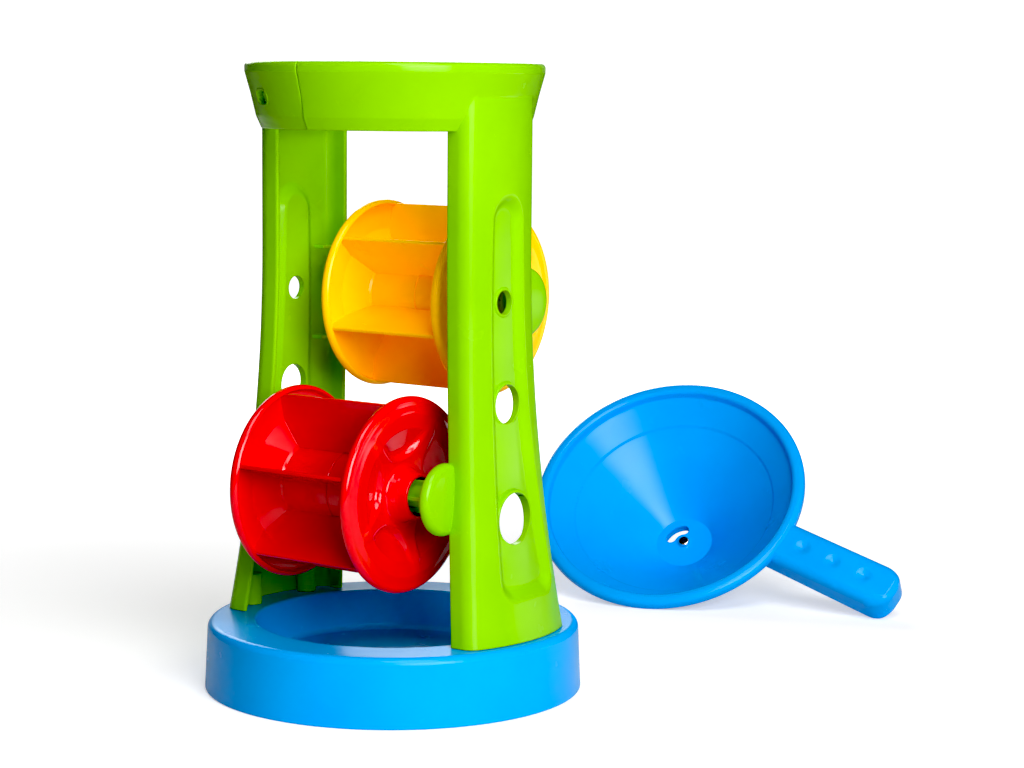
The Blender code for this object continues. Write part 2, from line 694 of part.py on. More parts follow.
# the bar reaches in to the bowl's wall and stops half way through it
inside = [(0, 8.0), (72.5, 8.0), (72.3, 2.4), (71.3, -2.0), (59.0, -12.8), (57.8, -15.0), (0, -66.0)]
combine(bar, lathe("bowl_inside", inside, FUNNEL_STEPS), "DIFFERENCE")
baked(bar)
combine(bowl, bar, "UNION")
combine(bowl, handle_body("handle_hollow", 2.3, 80.5, HANDLE_END - 2.3, True), "DIFFERENCE")
combine(bowl, kidney("bowl_kidney", -FLOOR_DEPTH - 6.0, -FLOOR_DEPTH + 3.0), "DIFFERENCE")
for i, x in enumerate((88.5, 107.8, 127.0), 1):
    droop = (x - RIM_R) / (HANDLE_END - RIM_R)
    ball = bmesh.new()
    bmesh.ops.create_uvsphere(ball, u_segments=10, v_segments=6, radius=6.0 * MM)
    dimple = mesh_object(f"handle_dimple_{i}", ball)
    moved(dimple, Matrix.Translation(Vector((x, 0.5, HANDLE_TOP - HANDLE_TOP_DROOP * droop + 4.4)) * MM))
    combine(bowl, dimple, "DIFFERENCE")

disc_top = -FLOOR_DEPTH - BOWL_T - GAP
DISC_T = 2.4
valve = lathe(
    "funnel_valve_disc",
    [(14.0, disc_top), (15.2, disc_top - 0.5), (15.2, disc_top - DISC_T + 0.4), (14.6, disc_top - DISC_T), (2.2, disc_top - DISC_T), (2.2, disc_top)],
    24,
)
combine(valve, kidney("valve_kidney", disc_top - 6.0, disc_top + 3.0), "DIFFERENCE")
thumb = block("valve_thumb", (-1.5, -13.5, disc_top - DISC_T - 4.2), (1.5, -5.2, disc_top - DISC_T + 0.6))
combine(valve, moved(thumb, Matrix.Rotation(math.radians(KIDNEY_AT - 90.0), 4, "Z")), "UNION")

under = disc_top - DISC_T
pin = lathe(
    "funnel_valve_pin",
    [
        (0, -FLOOR_DEPTH + 2.2), (2.7, -FLOOR_DEPTH + 2.2), (3.2, -FLOOR_DEPTH + 1.7), (3.2, -FLOOR_DEPTH + GAP), (1.75, -FLOOR_DEPTH + GAP),
        (1.75, under - 1.5), (2.9, under - 1.5), (2.9, under - 2.4), (2.0, under - 3.0), (0, under - 3.0),
    ],
    14,
)
washer = lathe("funnel_valve_washer", [(2.1, under - GAP), (4.4, under - GAP), (4.4, under - 1.15), (2.1, under - 1.15)], 14)

tilt, heading, roll = (math.radians(v) for v in (FUNNEL_TILT, FUNNEL_AZ, HANDLE_ROLL))
mouth = Vector((math.cos(tilt) * math.cos(heading), math.cos(tilt) * math.sin(heading), math.sin(tilt)))
level = Vector((-math.sin(heading), math.cos(heading), 0.0))
upslope = mouth.cross(level)
along = level * math.cos(roll) + upslope * math.sin(roll)
across = mouth.cross(along)
turn = Matrix((along, across, mouth)).transposed().to_4x4()
# the rim's rounded lip rests on the ground
rest_z = (RIM_R - LIP_R) * math.cos(tilt) + 3.75 + FUNNEL_CLEAR
pose = Matrix.Translation(Vector((FUNNEL_X, FUNNEL_Y, rest_z)) * MM) @ turn
for obj, mat in ((bowl, BLUE), (valve, BLUE), (pin, STEEL), (washer, STEEL)):
    obj.matrix_world = pose
    for step in obj.modifiers:
        step.object.matrix_world = pose
    finish(obj, mat)
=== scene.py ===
"""Looks for the sand and water mill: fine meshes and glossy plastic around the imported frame."""

import math

import bmesh
import bpy
import numpy as np
from mathutils import Matrix, Vector


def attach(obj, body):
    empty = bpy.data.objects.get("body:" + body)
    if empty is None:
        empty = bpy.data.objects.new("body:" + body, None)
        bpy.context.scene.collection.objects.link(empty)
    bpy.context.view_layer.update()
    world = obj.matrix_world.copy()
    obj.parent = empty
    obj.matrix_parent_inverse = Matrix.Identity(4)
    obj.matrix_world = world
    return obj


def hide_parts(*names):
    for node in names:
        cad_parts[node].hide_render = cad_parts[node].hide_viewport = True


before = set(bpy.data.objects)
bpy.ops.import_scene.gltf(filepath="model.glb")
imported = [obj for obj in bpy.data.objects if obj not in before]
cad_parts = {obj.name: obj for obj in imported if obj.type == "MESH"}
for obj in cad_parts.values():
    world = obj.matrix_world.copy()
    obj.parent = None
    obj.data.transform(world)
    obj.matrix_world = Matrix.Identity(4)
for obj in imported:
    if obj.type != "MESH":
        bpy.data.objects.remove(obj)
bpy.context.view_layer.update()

MM = 0.001
GAP = 0.3
SCENE = bpy.context.scene

# ------------------------------------------------------------------ materials


def new_material(name):
    mat = bpy.data.materials.new(name)
    mat.use_nodes = True
    tree = mat.node_tree
    return mat, tree, tree.nodes["Principled BSDF"], tree.nodes["Material Output"]


def noise(tree, coord, scale, detail=2.0, rough=0.5):
    node = tree.nodes.new("ShaderNodeTexNoise")
    node.inputs["Scale"].default_value = scale
    node.inputs["Detail"].default_value = detail
    node.inputs["Roughness"].default_value = rough
    tree.links.new(coord, node.inputs["Vector"])
    return node.outputs["Fac"]


def ramp(tree, value, low, high, a=0.35, b=0.65):
    node = tree.nodes.new("ShaderNodeValToRGB")
    node.color_ramp.elements[0].position = a
    node.color_ramp.elements[0].color = (*low, 1.0)
    node.color_ramp.elements[1].position = b
    node.color_ramp.elements[1].color = (*high, 1.0)
    tree.links.new(value, node.inputs["Fac"])
    return node.outputs["Color"]


def spread(tree, value, low, high):
    node = tree.nodes.new("ShaderNodeMapRange")
    node.inputs["From Min"].default_value = 0.3
    node.inputs["From Max"].default_value = 0.7
    node.inputs["To Min"].default_value = low
    node.inputs["To Max"].default_value = high
    tree.links.new(value, node.inputs["Value"])
    return node.outputs["Result"]


def bump(tree, value, strength, distance, normal=None):
    node = tree.nodes.new("ShaderNodeBump")
    node.inputs["Strength"].default_value = strength
    node.inputs["Distance"].default_value = distance
    tree.links.new(value, node.inputs["Height"])
    if normal is not None:
        tree.links.new(normal, node.inputs["Normal"])
    return node.outputs["Normal"]


def plastic(name, dark, light, gloss=(0.20, 0.28), shine=0.32, painted_glow=None):
    """Injection-moulded plastic: pigment that clouds a little, faint flow waves and a fine moulded grain."""
    mat, tree, shader, _ = new_material(name)
    coord = tree.nodes.new("ShaderNodeTexCoord").outputs["Object"]
    tree.links.new(ramp(tree, noise(tree, coord, 22.0, 3.0), dark, light), shader.inputs["Base Color"])
    tree.links.new(spread(tree, noise(tree, coord, 60.0, 4.0), *gloss), shader.inputs["Roughness"])
    edge = tree.nodes.new("ShaderNodeBevel")
    edge.samples = 4
    edge.inputs["Radius"].default_value = 0.0006
    waves = bump(tree, noise(tree, coord, 34.0, 1.0), 0.10, 0.0006, edge.outputs["Normal"])
    grain = bump(tree, noise(tree, coord, 1500.0, 2.0), 0.05, 0.00008, waves)
    tree.links.new(grain, shader.inputs["Normal"])
    shader.inputs["IOR"].default_value = 1.50
    shader.inputs["Specular IOR Level"].default_value = shine
    if painted_glow:
        # painted glow: the plastic gives off a faint orange light of its own, standing in for light carried through the
        # thin walls and bounced from the red wheel
        shader.inputs["Emission Color"].default_value = (*painted_glow[:3], 1.0)
        shader.inputs["Emission Strength"].default_value = painted_glow[3]
    return mat


def metal(name, low, high, gloss=(0.10, 0.22)):
    mat, tree, shader, _ = new_material(name)
    coord = tree.nodes.new("ShaderNodeTexCoord").outputs["Object"]
    tree.links.new(ramp(tree, noise(tree, coord, 300.0, 3.0), low, high), shader.inputs["Base Color"])
    tree.links.new(spread(tree, noise(tree, coord, 900.0, 3.0), *gloss), shader.inputs["Roughness"])
    tree.links.new(bump(tree, noise(tree, coord, 1400.0, 2.0), 0.06, 0.00005), shader.inputs["Normal"])
    shader.inputs["Metallic"].default_value = 1.0
    return mat


GREEN = plastic("green_plastic", (0.215, 0.540, 0.000), (0.235, 0.575, 0.000), shine=0.24)
BLUE = plastic("blue_plastic", (0.000, 0.340, 0.860), (0.000, 0.365, 0.900), shine=0.20)
BLUE_FUNNEL = plastic("blue_funnel_plastic", (0.000, 0.325, 0.860), (0.000, 0.350, 0.900), shine=0.22)
RED = plastic("red_plastic", (0.700, 0.000, 0.006), (0.750, 0.000, 0.010), gloss=(0.08, 0.15), shine=0.5)
# the yellow plastic carries a painted orange glow in place of light through its walls and red bounce light
YELLOW = plastic("yellow_plastic", (0.990, 0.560, 0.000), (1.000, 0.600, 0.000), painted_glow=(1.0, 0.24, 0.0, 0.16))
CHROME = metal("valve_metal", (0.82, 0.81, 0.79), (0.90, 0.89, 0.87))
ZINC = metal("screw_zinc", (0.60, 0.60, 0.58), (0.72, 0.72, 0.70), (0.22, 0.36))

# ------------------------------------------------------------------ mesh tools


def make_object(name, verts, faces):
    mesh = bpy.data.meshes.new(name)
    mesh.from_pydata([(float(a) * MM, float(b) * MM, float(c) * MM) for a, b, c in verts], [], faces)
    bm = bmesh.new()
    bm.from_mesh(mesh)
    bmesh.ops.remove_doubles(bm, verts=bm.verts, dist=1e-7)
    bmesh.ops.recalc_face_normals(bm, faces=bm.faces)
    bm.to_mesh(mesh)
    bm.free()
    obj = bpy.data.objects.new(name, mesh)
    SCENE.collection.objects.link(obj)
    return obj


def outward(obj):
    """Turns every face to look out of the solid."""
    bm = bmesh.new()
    bm.from_mesh(obj.data)
    bmesh.ops.recalc_face_normals(bm, faces=bm.faces)
    bm.to_mesh(obj.data)
    bm.free()


def surface(name, pts, loop_i=False, loop_j=False, caps=False):
    """A quad skin over a grid of points, closed along either direction, with flat end caps if asked."""
    pts = np.asarray(pts, float)
    n, m, _ = pts.shape
    idx = np.arange(n * m).reshape(n, m)
    faces = []
    for i in range(n if loop_i else n - 1):
        a, b = idx[i], idx[(i + 1) % n]
        for j in range(m if loop_j else m - 1):
            k = (j + 1) % m
            faces.append((int(a[j]), int(a[k]), int(b[k]), int(b[j])))
    if caps:
        faces.append(tuple(int(v) for v in idx[0][::-1]))
        faces.append(tuple(int(v) for v in idx[-1]))
    return make_object(name, pts.reshape(-1, 3), faces)


def rounded(points, k=6, closed=True):
    """Corner points (a, b, radius) turned into a line with an arc of k steps at each corner."""
    out = []
    n = len(points)
    for i, (x, y, r) in enumerate(points):
        if r <= 0 or (not closed and i in (0, n - 1)):
            out.append((x, y))
            continue
        p = np.array((x, y), float)
        a = np.array(points[(i - 1) % n][:2], float) - p
        b = np.array(points[(i + 1) % n][:2], float) - p
        la, lb = np.linalg.norm(a), np.linalg.norm(b)
        a, b = a / la, b / lb
        half = math.acos(max(-1.0, min(1.0, float(a @ b)))) / 2
        if half > math.pi / 2 - 0.02 or half < 0.02:
            out.append((x, y))
            continue
        t = min(r / math.tan(half), 0.49 * la, 0.49 * lb)
        rr = t * math.tan(half)
        mid = (a + b) / np.linalg.norm(a + b)
        centre = p + mid * (rr / math.sin(half))
        s, e = p + a * t - centre, p + b * t - centre
        turn = math.atan2(s[0] * e[1] - s[1] * e[0], float(s @ e))
        for j in range(k + 1):
            c, q = math.cos(turn * j / k), math.sin(turn * j / k)
            out.append((centre[0] + s[0] * c - s[1] * q, centre[1] + s[0] * q + s[1] * c))
    return out


def dense(line, step, closed=True):
    """The same line with no step longer than the given one."""
    out = []
    n = len(line)
    for i in range(n if closed else n - 1):
        a, b = np.array(line[i], float), np.array(line[(i + 1) % n], float)
        cuts = max(1, int(math.ceil(np.linalg.norm(b - a) / step)))
        for j in range(cuts):
            out.append(tuple(a + (b - a) * j / cuts))
    if not closed:
        out.append(tuple(line[-1]))
    return out


def revolve(name, profile, steps, axis="Z", shift=None):
    """A turned solid from a profile of (radius, height); a profile that ends on the axis stays open there.
    shift(radius, height, angle) gives new heights where the face isn't turned."""
    on_axis = abs(profile[0][0]) < 1e-9 and abs(profile[-1][0]) < 1e-9
    r = np.array([p[0] for p in profile])[:, None]
    h = np.array([p[1] for p in profile])[:, None]
    a = np.linspace(0, 2 * math.pi, steps, endpoint=False)[None, :]
    hh = h + 0 * a
    if shift is not None:
        hh = shift(r + 0 * a, hh, a + 0 * r)
    c, s = r * np.cos(a), r * np.sin(a)
    pts = np.stack([c, s, hh], -1) if axis == "Z" else np.stack([hh, c, s], -1)
    return surface(name, pts, loop_i=not on_axis, loop_j=True)


def cylinder(name, radius, start, end, axis="Z", centre=(0.0, 0.0), steps=64):
    obj = revolve(name, [(0, start), (radius, start), (radius, end), (0, end)], steps)
    if axis == "X":
        obj.data.transform(Matrix(((0, 0, 1, 0), (1, 0, 0, 0), (0, 1, 0, 0), (0, 0, 0, 1))))
        place(obj, (0, centre[0], centre[1]))
    else:
        place(obj, (centre[0], centre[1], 0))
    return obj


def place(obj, shift_mm):
    obj.data.transform(Matrix.Translation(Vector(shift_mm) * MM))
    return obj


def box(name, low, high):
    x, y, z = zip(low, high)
    verts = [(x[i], y[j], z[k]) for i in (0, 1) for j in (0, 1) for k in (0, 1)]
    faces = [(0, 1, 3, 2), (4, 6, 7, 5), (0, 4, 5, 1), (2, 3, 7, 6), (0, 2, 6, 4), (1, 5, 7, 3)]
    return make_object(name, verts, faces)


def bevelled(obj, width, segments=3, angle=35.0):
    step = obj.modifiers.new("edges", "BEVEL")
    step.width = width * MM
    step.segments = segments
    step.limit_method = "ANGLE"
    step.angle_limit = math.radians(angle)
    return baked(obj)


def prism(name, outline, low, high):
    """An outline in the XY plane raised from low to high."""
    n = len(outline)
    verts = [(x, y, low) for x, y in outline] + [(x, y, high) for x, y in outline]
    faces = [tuple(range(n))[::-1], tuple(range(n, 2 * n))]
    faces += [(i, (i + 1) % n, n + (i + 1) % n, n + i) for i in range(n)]
    return make_object(name, verts, faces)


def baked(obj):
    bpy.context.view_layer.update()
    graph = bpy.context.evaluated_depsgraph_get()
    mesh = bpy.data.meshes.new_from_object(obj.evaluated_get(graph))
    obj.modifiers.clear()
    obj.data = mesh
    return obj


def joined(name, objs):
    """Solids that don't meet, as one object."""
    bm = bmesh.new()
    for o in objs:
        bm.from_mesh(o.data)
        bpy.data.objects.remove(o, do_unlink=True)
    mesh = bpy.data.meshes.new(name)
    bm.to_mesh(mesh)
    bm.free()
    obj = bpy.data.objects.new(name, mesh)
    SCENE.collection.objects.link(obj)
    return obj


def boolean(obj, other, operation):
    step = obj.modifiers.new("cut", "BOOLEAN")
    step.operation = operation
    step.solver = "EXACT"
    step.object = other
    baked(obj)
    bpy.data.objects.remove(other, do_unlink=True)
    return obj


def copy_of(obj, name, matrix):
    twin = obj.copy()
    twin.data = obj.data.copy()
    twin.name = name
    SCENE.collection.objects.link(twin)
    twin.data.transform(matrix)
    if matrix.determinant() < 0:
        outward(twin)
    return twin


def finish(obj, mat, slot, body, *nodes, angle=38.0):
    obj.data.materials.clear()
    obj.data.materials.append(mat)
    obj.data.polygons.foreach_set("material_index", [0] * len(obj.data.polygons))
    obj.data.shade_smooth()
    obj.data.set_sharp_from_angle(angle=math.radians(angle))
    even = obj.modifiers.new("even_shading", "WEIGHTED_NORMAL")
    even.keep_sharp = True
    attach(obj, body)
    if nodes:
        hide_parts(*nodes)
    return obj


def soft_step(t, blend=0.22):
    """0 below 0 and 1 above 1, straight between, with both corners rounded."""
    t = np.asarray(t, float)
    lo = np.where(t < -blend, 0.0, np.where(t < blend, (t + blend) ** 2 / (4 * blend), t))
    u = 1.0 - lo
    hi = np.where(u < -blend, 0.0, np.where(u < blend, (u + blend) ** 2 / (4 * blend), u))
    return 1.0 - hi


# ------------------------------------------------------------------ tray base

BASE_H = 32.3
tray_line = rounded(
    [
        (0, 12.5, 0), (63.6, 12.5, 3.0), (65.6, BASE_H, 1.3), (88.5, BASE_H, 3.6), (90.0, 0.0, 0.8), (87.4, 0.0, 0.6),
        (86.1, BASE_H - 2.5, 1.2), (68.2, BASE_H - 2.5, 1.0), (65.8, 10.1, 1.6), (8.0, 10.1, 0.8), (8.0, 0.0, 0.4), (0, 0.0, 0),
    ],
    k=7,
    closed=False,
)
tray = revolve("tray_base_shell", tray_line, 160)
SCREW_X, SCREW_Y = 72.8, 20.0
screw_at = [(sx * SCREW_X, sy * SCREW_Y) for sx in (1, -1) for sy in (1, -1)]
boolean(tray, joined("tray_holes", [cylinder(f"hole_{i}", 2.1, BASE_H - 6, BASE_H + 3, centre=p, steps=28) for i, p in enumerate(screw_at)]), "DIFFERENCE")
finish(tray, BLUE, "blue_base", "tower", "tray_base")

for index, (x, y) in enumerate(screw_at, 1):
    top = BASE_H - 2.4 - GAP
    line = [(0, top + 14.0), (1.1, top + 13.2)]
    for k in range(7):
        z = top + 12.4 - 1.6 * k
        line += [(1.2, z), (1.6, z - 0.5), (1.6, z - 0.8), (1.2, z - 1.3)]
    line += [(1.6, top), (3.5, top), (3.5, top - 1.0), (3.2, top - 1.7), (2.4, top - 2.2), (0, top - 2.3)]
    screw = revolve(f"base_screw_{index}", line, 28)
    cross = joined("cross", [box("c1", (-0.45, -2.0, top - 3.0), (0.45, 2.0, top - 1.2))])
    boolean(screw, cross, "DIFFERENCE")
    boolean(screw, box("c2", (-2.0, -0.45, top - 3.0), (2.0, 0.45, top - 1.2)), "DIFFERENCE")
    place(screw, (x, y, 0))
    finish(screw, ZINC, "screw_steel", "tower", f"foot_screw_{index}")

# ------------------------------------------------------------------ tower halves

RING_TOP, RING_LOW = 296.0, 265.2
LEG_CORNER, LEG_DEPTH, WALL = 8.0, 11.5, 2.4
OFFSET, LOWER_Z, UPPER_Z = 32.3, 99.2, 184.6
LOWER_EAR, UPPER_EAR = 54.0, 50.5


def leg_radius(z):
    return 67.4 + 4.62e-4 * max(0.0, 215.0 - z) ** 2


def leg_half(z):
    return 26.0 + 3.64e-4 * max(0.0, 205.0 - z) ** 2


def groove_depth(y, z, grow):
    """Depth of the long recess in the leg's face: round at the top, squarer at the bottom, sloping walls."""
    spread = max(0.0, min(1.0, (150.0 - z) / 88.0)) ** 1.5
    y = np.abs(y - 4.2 * spread)
    top_r, top_c = 11.2 + grow, 224.4
    low_w, low_z, corner = 15.3 + grow, 51.9 - grow, 8.5
    w = low_w + (top_r - low_w) * np.clip((z - 66.0) / (top_c - 66.0), 0, 1) + 5.4 * spread
    low_w += 5.4 * spread
    inside = w - y
    inside = np.where(z > top_c, top_r - np.hypot(y, z - top_c), inside)
    dz, dy = low_z + corner - z, y - (low_w - corner)
    inside = np.where(dz > 0, np.minimum(z - low_z, inside), inside)
    inside = np.where((dz > 0) & (dy > 0), corner - np.hypot(dy, dz), inside)
    return 3.7 * soft_step(inside / 4.4, 0.16)


def leg_rows():
    fine = list(np.arange(48.0, 72.0, 1.0)) + list(np.arange(208.0, 242.0, 1.0))
    coarse = [BASE_H + GAP, 34.5, 37.0, 40.0, 44.0] + list(np.arange(74.0, 208.0, 2.5)) + list(np.arange(244.0, 282.5, 3.0)) + [282.0]
    heights = sorted(set([round(float(v), 3) for v in fine + coarse]))
    rows = []
    lip_r = WALL / 2
    for z in heights:
        radius, half = leg_radius(z), leg_half(z)
        lip = math.sqrt(radius**2 - half**2) - LEG_DEPTH
        cx = math.sqrt((radius - LEG_CORNER) ** 2 - (half - LEG_CORNER) ** 2)
        cy = half - LEG_CORNER
        lean = math.atan2(cy, cx)
        # +Y side, from the middle of the lip's round end out to the corner
        end = [(lip + lip_r - lip_r * math.cos(a), half - lip_r + lip_r * math.sin(a)) for a in np.linspace(0, math.pi / 2, 5)]
        flat = [(lip + lip_r + (cx - lip - lip_r) * t, half) for t in (0.25, 0.5, 0.75)]
        bend = [(cx + LEG_CORNER * math.cos(a), cy + LEG_CORNER * math.sin(a)) for a in np.linspace(math.pi / 2, lean, 11)]
        a = np.linspace(lean, -lean, 79)[1:-1]
        yy = radius * np.sin(a)
        rr = radius - groove_depth(yy, z, 0.0)
        face = list(zip(rr * np.cos(a), rr * np.sin(a)))
        mirror = [(x, -y) for x, y in (end + flat + bend)][::-1]
        outer = end + flat + bend + face + mirror
        # inner side, back from the -Y lip
        inset = LEG_CORNER - WALL
        end_in = [(lip + lip_r - lip_r * math.cos(a), half - lip_r - lip_r * math.sin(a)) for a in np.linspace(0, math.pi / 2, 5)][1:]
        flat_in = [(lip + lip_r + (cx - lip - lip_r) * t, half - WALL) for t in (0.25, 0.5, 0.75)]
        bend_in = [(cx + inset * math.cos(a), cy + inset * math.sin(a)) for a in np.linspace(math.pi / 2, lean, 9)]
        yy = (radius - WALL) * np.sin(a)
        rr = radius - WALL - groove_depth(yy, z, 1.6)
        face_in = list(zip(rr * np.cos(a), rr * np.sin(a)))
        side = end_in + flat_in + bend_in
        inner = [(x, -y) for x, y in side] + face_in[::-1] + side[::-1]
        rows.append([(x, y, z) for x, y in outer + inner])
    return rows


def ear(name, back_x, y, z):
    """The round boss that holds one end of an axle, with a softly pillowed outer face."""
    line = [(0, 5.25), (6, 5.2), (10.5, 4.95), (12.8, 4.6)]
    for a in np.linspace(0.25, math.pi / 2, 8):
        line.append((16.7 - 3.4 + 3.4 * math.sin(a), 1.2 + 3.3 * math.cos(a)))
    line += [(16.7, 0.6), (16.5, 0.15), (16.1, 0.0), (0, 0)]
    obj = revolve(name, line, 96)
    obj.data.transform(Matrix(((0, 0, 1, 0), (1, 0, 0, 0), (0, 1, 0, 0), (0, 0, 0, 1))))
    return place(obj, (back_x, y, z))


def rib(name, z, side):
    half, r = leg_half(z) - 0.5, leg_radius(z)
    lip = math.sqrt(r * r - leg_half(z) ** 2) - LEG_DEPTH
    reach = math.sqrt(r * r - half * half) - 5.0
    low, high = (8.0, half - 0.4) if side > 0 else (-half + 0.4, -11.0)
    return bevelled(box(name, (lip + 0.4, low, z - 0.9), (reach, high, z + 0.9)), 0.35, 2)


leg = surface("leg", leg_rows(), loop_j=True, caps=True)
parts = [ear("ear_low", LOWER_EAR, -OFFSET, LOWER_Z), ear("ear_up", UPPER_EAR, OFFSET, UPPER_Z)]
parts += [rib(f"rib_{i}", z, 1) for i, z in enumerate((UPPER_Z - 21.8, UPPER_Z + 22.4))]
parts += [rib(f"rib_{i + 2}", z, -1) for i, z in enumerate((LOWER_Z - 21.8, LOWER_Z + 22.4))]
boolean(leg, joined("leg_parts", parts), "UNION")
boolean(leg, joined("leg_posts", [cylinder(f"post_{i}", 4.6, BASE_H + GAP, BASE_H + 15.4, centre=(SCREW_X, y), steps=40) for i, y in enumerate((SCREW_Y, -SCREW_Y))]), "UNION")

HOLES = [(187.3, 5.6), (140.6, 9.0), (88.0, 12.0)]
collars = []
for i, (z, r) in enumerate(HOLES):
    # a thin raised lip round each hole, on the floor of the recess
    x = leg_radius(z) - 3.7
    line = rounded([(r - 0.3, x - 1.8, 0), (r + 1.5, x - 1.8, 0), (r + 1.2, x + 0.55, 0.5), (r - 0.3, x + 0.55, 0)], k=4)
    lip_ring = revolve(f"collar_{i}", line, 72, axis="X")
    place(lip_ring, (0, 0, z))
    collars.append(lip_ring)
boolean(leg, joined("collars", collars), "UNION")
cuts = [cylinder(f"bore_{i}", r, 45.0, 95.0, axis="X", centre=(0, z), steps=72) for i, (z, r) in enumerate(HOLES)]
cuts += [cylinder(f"pilot_{i}", 1.95, BASE_H - 3, BASE_H + 12.9, centre=(SCREW_X, y), steps=24) for i, y in enumerate((SCREW_Y, -SCREW_Y))]
for i, (x, y, z) in enumerate(((LOWER_EAR, -OFFSET, LOWER_Z), (UPPER_EAR, OFFSET, UPPER_Z))):
    cuts.append(box(f"socket_{i}", (x - 2.0, y - 4.2, z - 4.2), (x + 3.2, y + 4.2, z + 4.2)))
boolean(leg, joined("leg_cuts", cuts), "DIFFERENCE")


def ring_wall(z):
    return 67.3 + (z - (RING_TOP - 15.0)) * 0.24


ring_line = rounded(
    [
        (65.4, RING_TOP, 1.0), (70.3, RING_TOP, 2.6), (70.2, RING_TOP - 4.6, 3.0), (67.4, RING_TOP - 14.6, 8.0), (64.9, RING_TOP - 25.0, 8.0),
        (62.3, RING_LOW, 0.9), (60.7, RING_LOW, 0.7), (62.0, RING_TOP - 25.0, 4.0), (65.4, RING_TOP - 8.0, 3.0),
    ],
    k=6,
)
# each half stops just short of the seam, with its edge rounded so that the joint shows as a fine line
turns = np.radians(np.concatenate([[-89.87, -89.75, -89.5], np.linspace(-89.0, 89.0, 120), [89.5, 89.75, 89.87]]))
shrink = np.concatenate([[0.45, 0.18, 0.05], np.zeros(120), [0.05, 0.18, 0.45]])
centroid = np.mean(np.array(ring_line), axis=0)
ring_rows = []
for a, s in zip(turns, shrink):
    row = []
    for i, (r, z) in enumerate(ring_line):
        p, q = np.array(ring_line[i - 1]), np.array(ring_line[(i + 1) % len(ring_line)])
        t = q - p
        nrm = np.array((t[1], -t[0])) / max(np.linalg.norm(t), 1e-9)
        if nrm @ (np.array((r, z)) - centroid) < 0 and abs(nrm[1]) > 0.9:
            nrm = -nrm
        r2, z2 = r + (s if r < 64.5 + (z - RING_LOW) * 0.1 and z < RING_TOP - 1 else -s), z
        row.append((r2 * math.cos(a), r2 * math.sin(a), z2))
    ring_rows.append(row)
ring = surface("ring", ring_rows, loop_j=True, caps=True)


def arc_block(name, az_a, az_b, r_in, r_out, z_low, z_high, pieces=24):
    rows = []
    for i in range(pieces + 1):
        a = math.radians(az_a + (az_b - az_a) * i / pieces)
        rows.append([((ring_wall(z) + r) * math.cos(a), (ring_wall(z) + r) * math.sin(a), z) for z, r in ((z_low, r_in), (z_low, r_out), (z_high, r_out), (z_high, r_in))])
    return surface(name, rows, loop_j=True, caps=True)


def slot_block(name, az, half_az, half_z, r_in, r_out, z0):
    """A slot with round ends, straight through the ring's wall."""
    pts = []
    reach = ring_wall(z0)
    for i in range(17):
        b = -math.pi / 2 + math.pi * i / 16
        pts.append((half_az + half_z * math.cos(b), half_z * math.sin(b)))
    for i in range(17):
        b = math.pi / 2 + math.pi * i / 16
        pts.append((-half_az + half_z * math.cos(b), half_z * math.sin(b)))
    rows = []
    for r in (r_in, r_out):
        row = []
        for u, w in pts:
            a = math.radians(az) + u / reach
            rr = ring_wall(z0 + w) + r
            row.append((rr * math.cos(a), rr * math.sin(a), z0 + w))
        rows.append(row)
    return surface(name, rows, loop_j=True, caps=True)


LATCH_AZ, LATCH_Z = -116.0, 279.6
boolean(ring, arc_block("tongue_root", -78.0, -89.0, -5.6, -2.0, LATCH_Z - 6.0, LATCH_Z + 6.0, 8), "UNION")
boolean(ring, arc_block("tongue", -84.0, LATCH_AZ - 8.0, -5.6, -3.9, LATCH_Z - 5.5, LATCH_Z + 5.5), "UNION")
boolean(ring, arc_block("knob", LATCH_AZ - 3.0, LATCH_AZ + 4.6, -4.4, -2.2, LATCH_Z - 2.2, LATCH_Z + 2.2, 8), "UNION")
boolean(ring, slot_block("rim_bead", LATCH_AZ + 180.0, 2.2, 3.9, -1.0, 0.35, LATCH_Z), "UNION")
boolean(ring, slot_block("latch_slot", LATCH_AZ + 180.0, 2.2, 3.2, -3.7, 4.0, LATCH_Z), "DIFFERENCE")

for name, node, mirror in (("tower_right_shell", "tower_half_right", False), ("tower_left_shell", "tower_half_left", True)):
    half = copy_of(leg, name, Matrix.Diagonal((-1.0, 1.0, 1.0, 1.0)) if mirror else Matrix.Identity(4))
    crown = copy_of(ring, name + "_crown", Matrix.Rotation(math.pi if mirror else 0.0, 4, "Z"))
    boolean(half, crown, "UNION")
    finish(half, GREEN, "green_tower", "tower", node)
bpy.data.objects.remove(leg, do_unlink=True)
bpy.data.objects.remove(ring, do_unlink=True)

# ------------------------------------------------------------------ axles


def axle(name, node, half_length, y, z):
    end = half_length - GAP
    line = [(0, -end), (4.6, -end), (5.2, -end + 0.6), (5.2, end - 0.6), (4.6, end), (0, end)]
    shaft = revolve(name, line, 56, axis="X")
    for k in range(2):
        fin = bevelled(box("fin", (-end + 0.02, -7.6, -0.95), (end - 0.02, 7.6, 0.95)), 0.3, 3)
        fin.data.transform(Matrix.Rotation(math.pi / 2 * k, 4, "X"))
        boolean(shaft, fin, "UNION")
    boolean(shaft, bevelled(box("spigot", (-half_length - 2.6, -3.8, -3.8), (half_length + 2.6, 3.8, 3.8)), 0.4, 2), "UNION")
    shaft.location = (0, y * MM, z * MM)
    return finish(shaft, GREEN, "green_axle", "tower", node)


axle("lower_axle_shaft", "lower_axle", LOWER_EAR, -OFFSET, LOWER_Z)
axle("upper_axle_shaft", "upper_axle", UPPER_EAR, OFFSET, UPPER_Z)

# ------------------------------------------------------------------ wheels

HUB_R, BORE_R, BLADE_R = 17.3, 8.1, 43.9
PETALS = 5
PETAL_TURN = math.radians(53.6)


